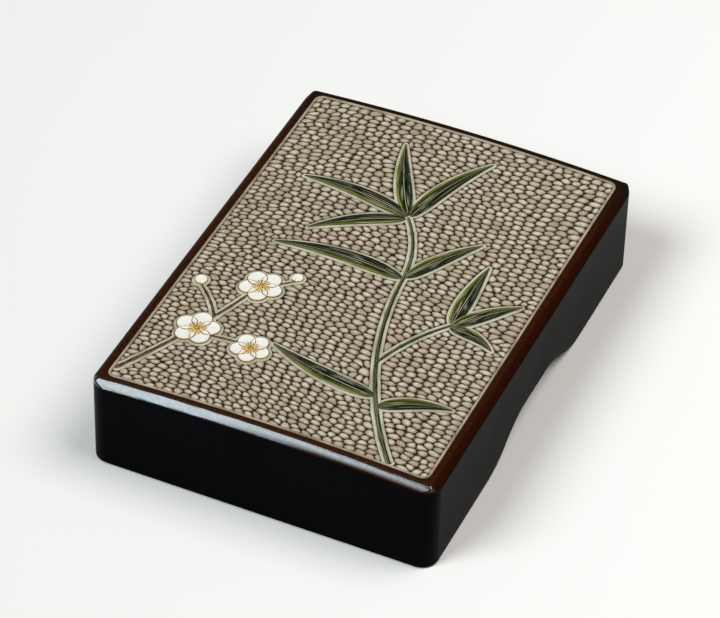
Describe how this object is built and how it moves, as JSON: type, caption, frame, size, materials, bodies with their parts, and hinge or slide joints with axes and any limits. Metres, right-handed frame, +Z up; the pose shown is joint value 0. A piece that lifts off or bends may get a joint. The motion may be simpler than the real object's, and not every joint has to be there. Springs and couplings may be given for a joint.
{
  "type": "document box",
  "caption": "Oblong lacquered wooden document box with a deep lift-off lid over the whole body, a cambered carved top board and a low finger arch in each long lid wall.",
  "frame": {"origin": "middle of the body's underside, where the box stands on a table", "axes": "+Z up, +X to the right along the short front, +Y from the front to the back along the long side"},
  "size_m": [0.24, 0.336, 0.073],
  "materials": {
    "lacquer_brown": "carved and rubbed brown lacquer, satin",
    "lacquer_black": "black lacquer, satin",
    "plain_wood": "bare wood",
    "bamboo": "bare bamboo",
    "carved_ground": "carved ground, pale lacquer rubbed through to brown",
    "carved_leaves": "carved leaves, green lacquer",
    "carved_blossoms": "carved blossoms, white lacquer with gold"
  },
  "bodies": {
    "body": {"body_floor_board": "lacquer_black", "body_front_wall": "lacquer_black", "body_back_wall": "lacquer_black", "body_left_wall": "lacquer_black", "body_right_wall": "lacquer_black", "body_keys_front_left": "plain_wood", "body_keys_front_right": "plain_wood", "body_keys_back_left": "plain_wood", "body_keys_back_right": "plain_wood", "floor_pegs_front": "bamboo", "floor_pegs_back": "bamboo", "floor_pegs_left": "bamboo", "floor_pegs_right": "bamboo"},
    "lid": {"lid_top_board": "lacquer_brown", "lid_front_wall": "lacquer_black", "lid_back_wall": "lacquer_black", "lid_left_wall": "lacquer_black", "lid_right_wall": "lacquer_black", "lid_keys_front_left": "plain_wood", "lid_keys_front_right": "plain_wood", "lid_keys_back_left": "plain_wood", "lid_keys_back_right": "plain_wood"}
  },
  "joints": [
    {"name": "lid_lift", "type": "slide", "parent": "body", "child": "lid", "axis": [0, 0, 1], "range_m": [0, 0.12]}
  ]
}
